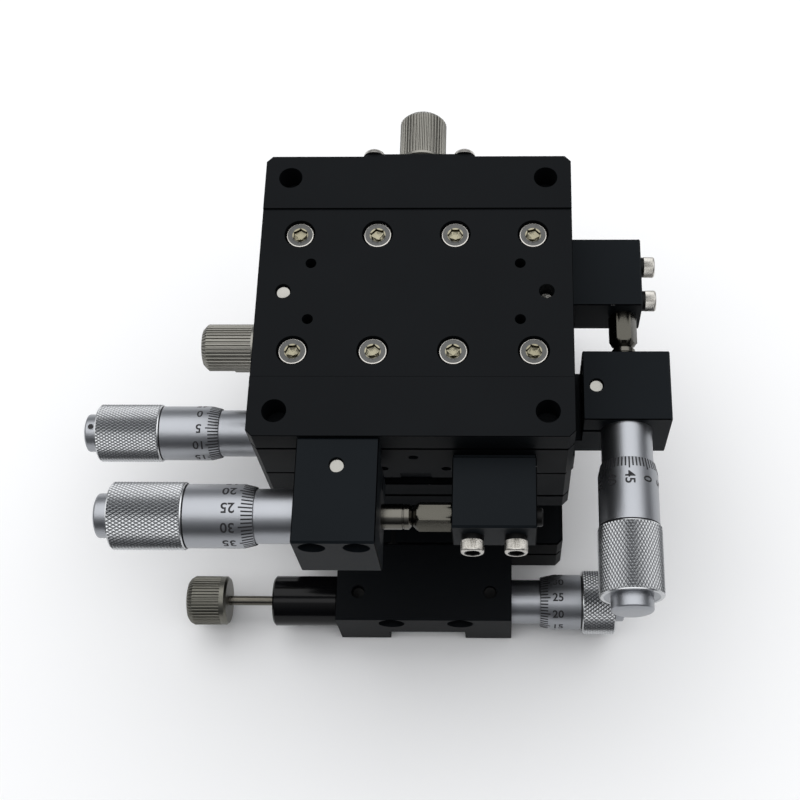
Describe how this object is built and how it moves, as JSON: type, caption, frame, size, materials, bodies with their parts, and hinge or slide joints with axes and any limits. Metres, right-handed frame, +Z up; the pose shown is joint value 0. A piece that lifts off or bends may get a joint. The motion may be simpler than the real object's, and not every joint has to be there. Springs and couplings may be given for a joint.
{
  "type": "multi-axis positioning stage",
  "caption": "Stack of crossed-roller slides, a wedge lift and a rotation stage, each fed by a micrometer head and held by a lock screw.",
  "frame": {"origin": "middle of the square bottom face, on the turntable's axis", "axes": "+X to the right along the upper slide, +Y away along the lower slide, +Z up"},
  "size_m": [0.1252, 0.1024, 0.077],
  "materials": {
    "black_anodised": "black anodised, satin",
    "steel": "ground steel",
    "chrome": "satin chrome",
    "nickel": "nickel plated",
    "stainless": "stainless screws",
    "spring_steel": "spring wire"
  },
  "bodies": {
    "base": {"turn_base": "black_anodised", "turn_arm": "black_anodised", "turn_arm_screw": "stainless"},
    "turn_ring": {"turn_rollers": "steel"},
    "turntable": {"turn_table": "black_anodised", "turn_retainer": "steel", "turn_micrometer_block": "black_anodised", "turn_block_screws": "stainless", "turn_sleeve": "chrome", "plunger_body": "black_anodised", "plunger_spring": "spring_steel", "z_base": "black_anodised", "z_fixed_rails": "steel", "z_springs": "spring_steel", "z_sleeve": "chrome"},
    "turn_feed": {"turn_spindle": "steel"},
    "turn_dial": {"turn_thimble": "chrome"},
    "plunger_pin": {"plunger": "nickel"},
    "wedge": {"z_wedge": "steel", "z_spindle": "steel"},
    "lift_dial": {"z_thimble": "chrome"},
    "lift_ring": {"z_rollers": "steel"},
    "lift": {"z_table": "black_anodised", "z_moving_rails": "steel", "z_side_cover": "black_anodised", "z_lock_plate": "black_anodised", "y_base": "black_anodised", "y_inner_rails": "steel", "y_base_screws": "stainless", "y_micrometer_block": "black_anodised", "y_sleeve": "chrome", "y_lock_plate": "black_anodised"},
    "lift_lock": {"z_lock_knob": "nickel"},
    "y_cages": {"y_roller_cages": "steel"},
    "y_dial": {"y_thimble": "chrome", "y_spindle": "steel"},
    "middle": {"y_table": "black_anodised", "y_outer_rails": "steel", "y_spring": "spring_steel", "x_base": "black_anodised", "x_outer_rails": "steel", "x_spring": "spring_steel", "middle_screws": "stainless", "x_anvil_block": "black_anodised", "x_anvil": "steel", "y_anvil_block": "black_anodised", "y_anvil": "steel"},
    "y_lock": {"y_lock_knob": "nickel"},
    "x_cages": {"x_roller_cages": "steel"},
    "x_slide": {"x_table": "black_anodised", "x_inner_rails": "steel", "x_table_screws": "stainless", "x_micrometer_block": "black_anodised", "x_sleeve": "chrome", "x_lock_plate": "black_anodised"},
    "x_dial": {"x_thimble": "chrome", "x_spindle": "steel"},
    "x_lock": {"x_lock_knob": "nickel"}
  },
  "joints": [
    {"name": "turn_thimble_turn", "type": "hinge", "parent": "turn_feed", "child": "turn_dial", "pos_m": [0.03, -0.0411, 0.0085], "axis": [-1, 0, 0], "range_deg": [-2525, 2525]},
    {"name": "turn_screw_feed", "type": "slide", "parent": "turntable", "child": "turn_feed", "axis": [-1, 0, 0], "range_m": [-0.00352, 0.00352]},
    {"name": "plunger_follow", "type": "slide", "parent": "turntable", "child": "plunger_pin", "axis": [-1, 0, 0], "range_m": [-0.00352, 0.00352]},
    {"name": "turntable_turn", "type": "hinge", "parent": "base", "child": "turntable", "pos_m": [0, 0, 0.0084], "axis": [0, 0, 1], "range_deg": [-4.85, 4.85]},
    {"name": "ring_turn", "type": "hinge", "parent": "base", "child": "turn_ring", "pos_m": [0, 0, 0.0084], "axis": [0, 0, 1], "range_deg": [-2.5, 2.5]},
    {"name": "lift_thimble_turn", "type": "hinge", "parent": "wedge", "child": "lift_dial", "pos_m": [-0.06, -0.0084, 0.027], "axis": [1, 0, 0], "range_deg": [-4328.6, 4328.6]},
    {"name": "wedge_feed", "type": "slide", "parent": "turntable", "child": "wedge", "axis": [1, 0, 0], "range_m": [-0.00602, 0.00602]},
    {"name": "lift_rise", "type": "slide", "parent": "turntable", "child": "lift", "axis": [0, 0, 1], "range_m": [-0.0024, 0.0024]},
    {"name": "lift_rollers_rise", "type": "slide", "parent": "turntable", "child": "lift_ring", "axis": [0, 0, 1], "range_m": [-0.00122, 0.00122]},
    {"name": "lift_lock_turn", "type": "hinge", "parent": "turntable", "child": "lift_lock", "pos_m": [-0.035, 0.0118, 0.027], "axis": [1, 0, 0], "range_deg": [-180, 180]},
    {"name": "y_thimble_turn", "type": "hinge", "parent": "middle", "child": "y_dial", "pos_m": [0.0414, -0.03, 0.0517], "axis": [0, 1, 0], "range_deg": [-2164.3, 4689.4]},
    {"name": "y_feed", "type": "slide", "parent": "lift", "child": "middle", "axis": [0, 1, 0], "range_m": [-0.003, 0.0065]},
    {"name": "y_cages_roll", "type": "slide", "parent": "lift", "child": "y_cages", "axis": [0, 1, 0], "range_m": [-0.00152, 0.00327]},
    {"name": "y_lock_turn", "type": "hinge", "parent": "middle", "child": "y_lock", "pos_m": [-0.035, 0, 0.0524], "axis": [1, 0, 0], "range_deg": [-180, 180]},
    {"name": "x_thimble_turn", "type": "hinge", "parent": "middle", "child": "x_dial", "pos_m": [-0.03, -0.0414, 0.0657], "axis": [-1, 0, 0], "range_deg": [-4689.4, 3967.9]},
    {"name": "x_feed", "type": "slide", "parent": "middle", "child": "x_slide", "axis": [1, 0, 0], "range_m": [-0.0065, 0.0055]},
    {"name": "x_cages_roll", "type": "slide", "parent": "middle", "child": "x_cages", "axis": [1, 0, 0], "range_m": [-0.00327, 0.00277]},
    {"name": "x_lock_turn", "type": "hinge", "parent": "middle", "child": "x_lock", "pos_m": [0, 0.035, 0.065], "axis": [0, 1, 0], "range_deg": [-180, 180]}
  ],
  "couplings": [
    {"joint": "turn_thimble_turn", "follows": "turntable_turn", "ratio": 516.48},
    {"joint": "turn_screw_feed", "follows": "turntable_turn", "m_per_rad": 0.0411},
    {"joint": "plunger_follow", "follows": "turntable_turn", "m_per_rad": 0.0411},
    {"joint": "ring_turn", "follows": "turntable_turn", "ratio": 0.5},
    {"joint": "lift_thimble_turn", "follows": "lift_rise", "rad_per_m": 31416},
    {"joint": "wedge_feed", "follows": "lift_rise", "ratio": 2.5},
    {"joint": "lift_rollers_rise", "follows": "lift_rise", "ratio": 0.5},
    {"joint": "y_thimble_turn", "follows": "y_feed", "rad_per_m": 12566},
    {"joint": "y_cages_roll", "follows": "y_feed", "ratio": 0.5},
    {"joint": "x_thimble_turn", "follows": "x_feed", "rad_per_m": 12566},
    {"joint": "x_cages_roll", "follows": "x_feed", "ratio": 0.5}
  ]
}
